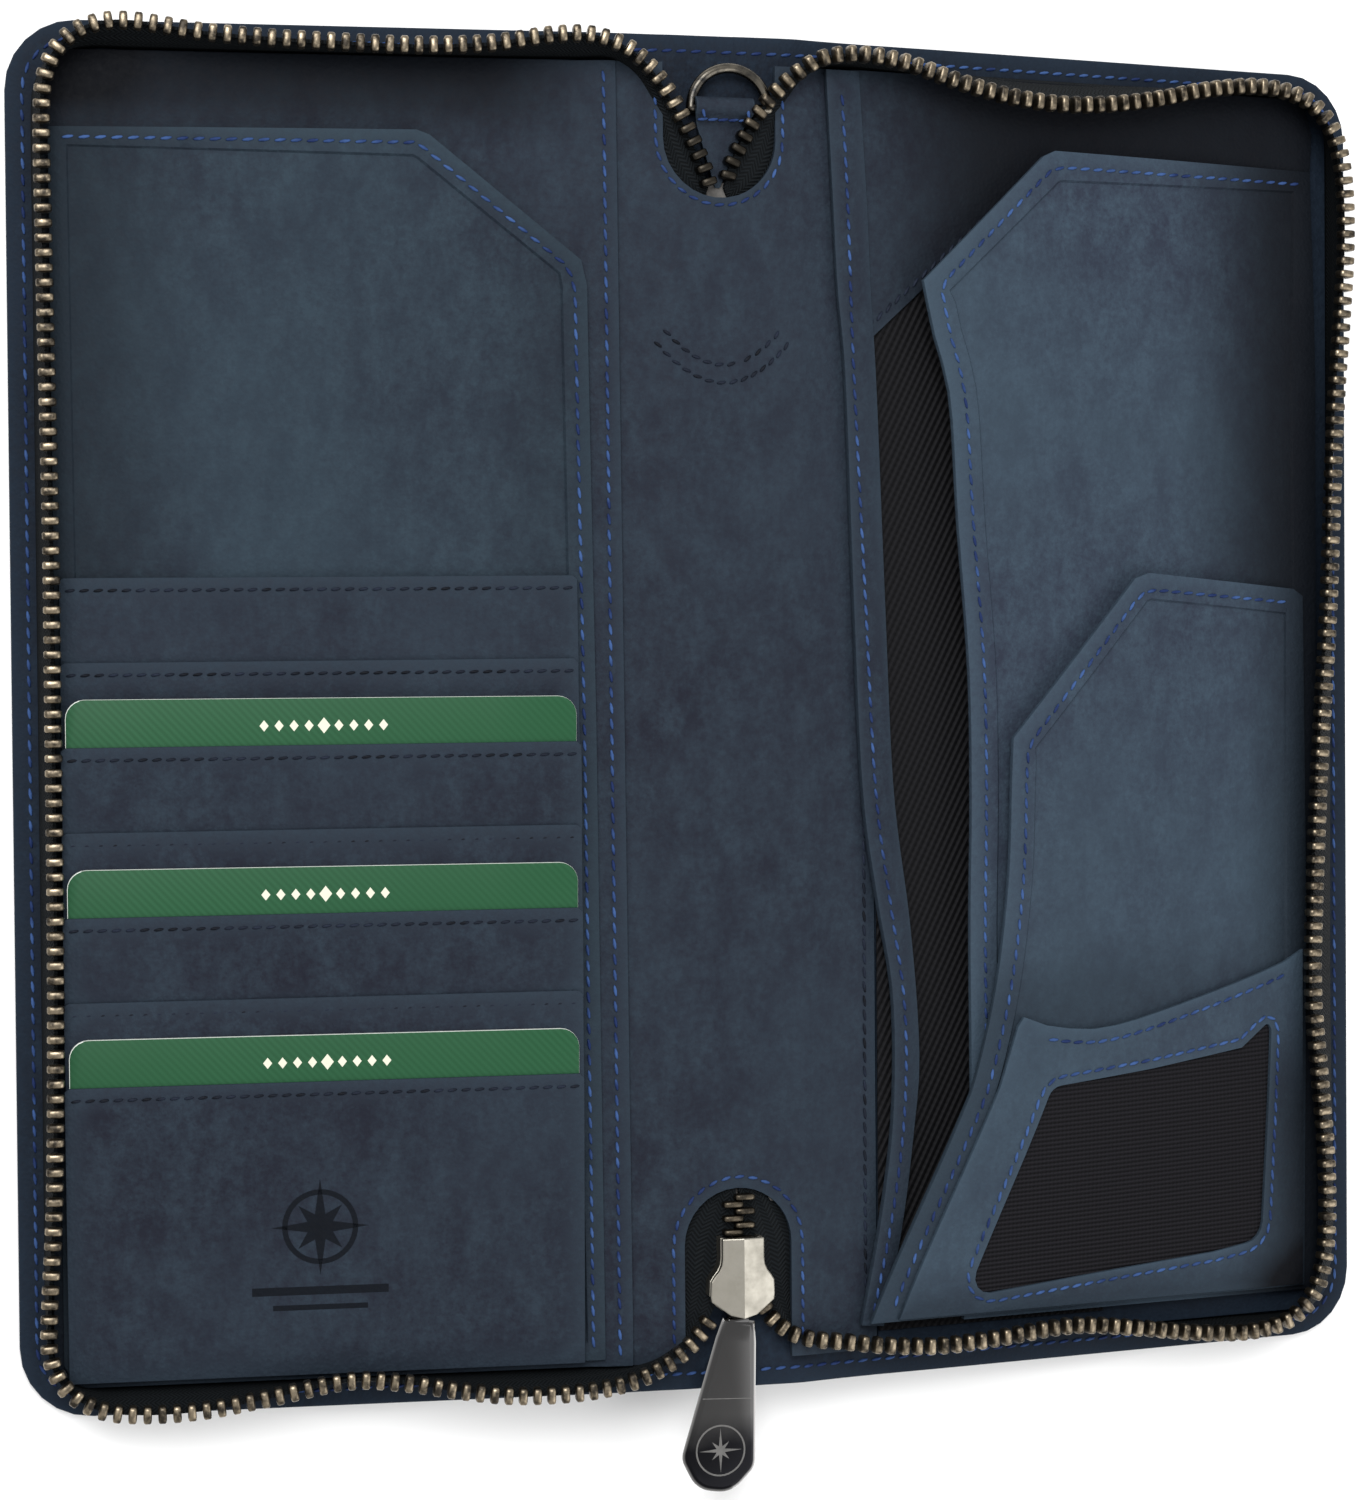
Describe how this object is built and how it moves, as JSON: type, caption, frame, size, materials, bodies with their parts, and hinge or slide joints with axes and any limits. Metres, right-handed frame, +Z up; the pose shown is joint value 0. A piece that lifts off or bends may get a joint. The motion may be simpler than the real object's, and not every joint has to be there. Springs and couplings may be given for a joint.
{
  "type": "travel wallet",
  "caption": "Zip-round leather travel wallet for passport, tickets and cards, lying open, with stepped pockets, card slots, a mesh window, a D-ring and a zip slider with puller.",
  "frame": {"origin": "middle of the open wallet's box, on the surface that the covers' outer edges rest on", "axes": "+X to the right cover with the stepped pockets, +Y to the head of the spine, where the D-ring is, +Z up out of the open inside"},
  "size_m": [0.247, 0.253, 0.0271],
  "materials": {
    "leather": "matt pull-up leather with worn lighter edges",
    "board": "plain grey board",
    "zip_tape": "woven polyester, herringbone",
    "twill": "black polyester twill",
    "mesh": "black woven mesh",
    "teeth": "antique brass, rubbed bright on the crowns",
    "ring_metal": "gunmetal plating",
    "slider_metal": "satin nickel",
    "puller_metal": "polished gunmetal",
    "card": "satin printed card"
  },
  "bodies": {
    "spine": {"spine_leather": "leather", "spine_board": "board", "spine_lining": "leather", "ring_tab": "leather", "head_tape": "zip_tape", "head_teeth": "teeth", "tail_tape": "zip_tape", "tail_teeth": "teeth", "closed_chain": "teeth", "bottom_stop": "teeth"},
    "left_cover": {"left_leather": "leather", "left_board": "board", "left_lining": "leather", "left_tape": "zip_tape", "left_teeth": "teeth", "slip_pocket_panel": "leather", "card_slot_1": "leather", "card_slot_2": "leather", "card_slot_3": "leather", "card_slot_4": "leather", "card_slot_5": "leather", "card_slot_6": "leather", "card_slot_7": "leather"},
    "right_cover": {"right_leather": "leather", "right_board": "board", "right_lining": "leather", "right_tape": "zip_tape", "right_teeth": "teeth", "pocket_edge_strip": "leather", "pocket_facing": "leather", "pocket_twill": "twill", "large_pocket": "leather", "large_pocket_gusset": "twill", "small_pocket": "leather", "small_pocket_gusset": "twill", "id_pocket_frame": "leather", "id_window_mesh": "mesh"},
    "d_ring": {"d_ring": "ring_metal"},
    "slider": {"slider_body": "slider_metal"},
    "puller": {"puller": "puller_metal"},
    "card_1": {"card_1": "card"},
    "card_2": {"card_2": "card"},
    "card_3": {"card_3": "card"}
  },
  "joints": [
    {"name": "left_fold", "type": "hinge", "parent": "spine", "child": "left_cover", "pos_m": [-0.0095, 0.00872, 0.01699], "axis": [0, 1, 0], "range_deg": [0, 96.5]},
    {"name": "right_fold", "type": "hinge", "parent": "spine", "child": "right_cover", "pos_m": [0.0095, 0.00872, 0.01699], "axis": [0, -1, 0], "range_deg": [0, 96.5]},
    {"name": "ring_swing", "type": "hinge", "parent": "spine", "child": "d_ring", "pos_m": [-0.0015, 0.11332, 0.01659], "axis": [1, 0, 0], "range_deg": [0, 100]},
    {"name": "slider_run", "type": "slide", "parent": "spine", "child": "slider", "axis": [0, 1, 0], "range_m": [0, 0.0025]},
    {"name": "puller_swing", "type": "hinge", "parent": "slider", "child": "puller", "pos_m": [-0.0015, -0.09668, 0.01599], "axis": [-1, 0, 0], "range_deg": [0, 30]},
    {"name": "card_1_slide", "type": "slide", "parent": "left_cover", "child": "card_1", "axis": [-0.0078, 0.9976, 0.0683], "range_m": [0, 0.025]},
    {"name": "card_2_slide", "type": "slide", "parent": "left_cover", "child": "card_2", "axis": [-0.0078, 0.9976, 0.0683], "range_m": [0, 0.025]},
    {"name": "card_3_slide", "type": "slide", "parent": "left_cover", "child": "card_3", "axis": [-0.0078, 0.9976, 0.0683], "range_m": [0, 0.025]}
  ]
}
